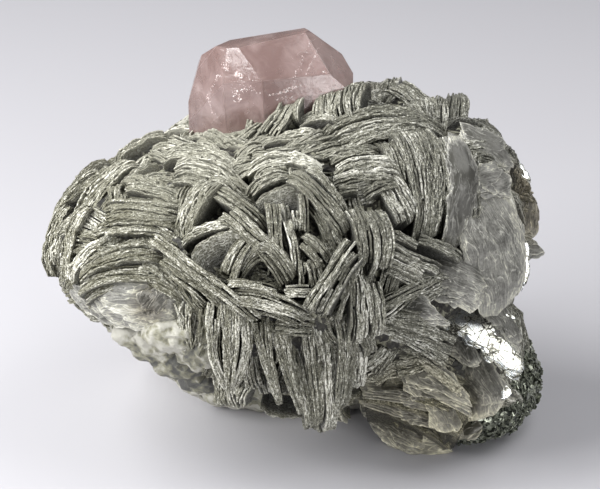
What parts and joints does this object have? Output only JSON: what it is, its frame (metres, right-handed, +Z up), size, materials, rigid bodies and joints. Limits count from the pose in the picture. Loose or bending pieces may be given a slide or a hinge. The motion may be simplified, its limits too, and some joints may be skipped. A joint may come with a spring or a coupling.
{
  "type": "morganite specimen",
  "caption": "Natural mineral specimen: a blunt pink beryl crystal seated on a rosette of stacked mica books, with pale feldspar and a dark mica crust below, cut flat to rest.",
  "frame": {"origin": "on the flat foot of the albite, under the middle of the specimen, where it rests", "axes": "+Z up, +X to the right seen from the front, +Y from the front of the specimen to its back"},
  "size_m": [0.0893, 0.0699, 0.0698],
  "materials": {
    "muscovite": "pearly",
    "morganite": "glassy",
    "albite": "dull",
    "dark_mica": "glittering"
  },
  "bodies": {
    "root": {"muscovite_rosette": "muscovite", "morganite_crystal": "morganite", "albite_matrix": "albite", "dark_mica_crust": "dark_mica"}
  },
  "joints": []
}
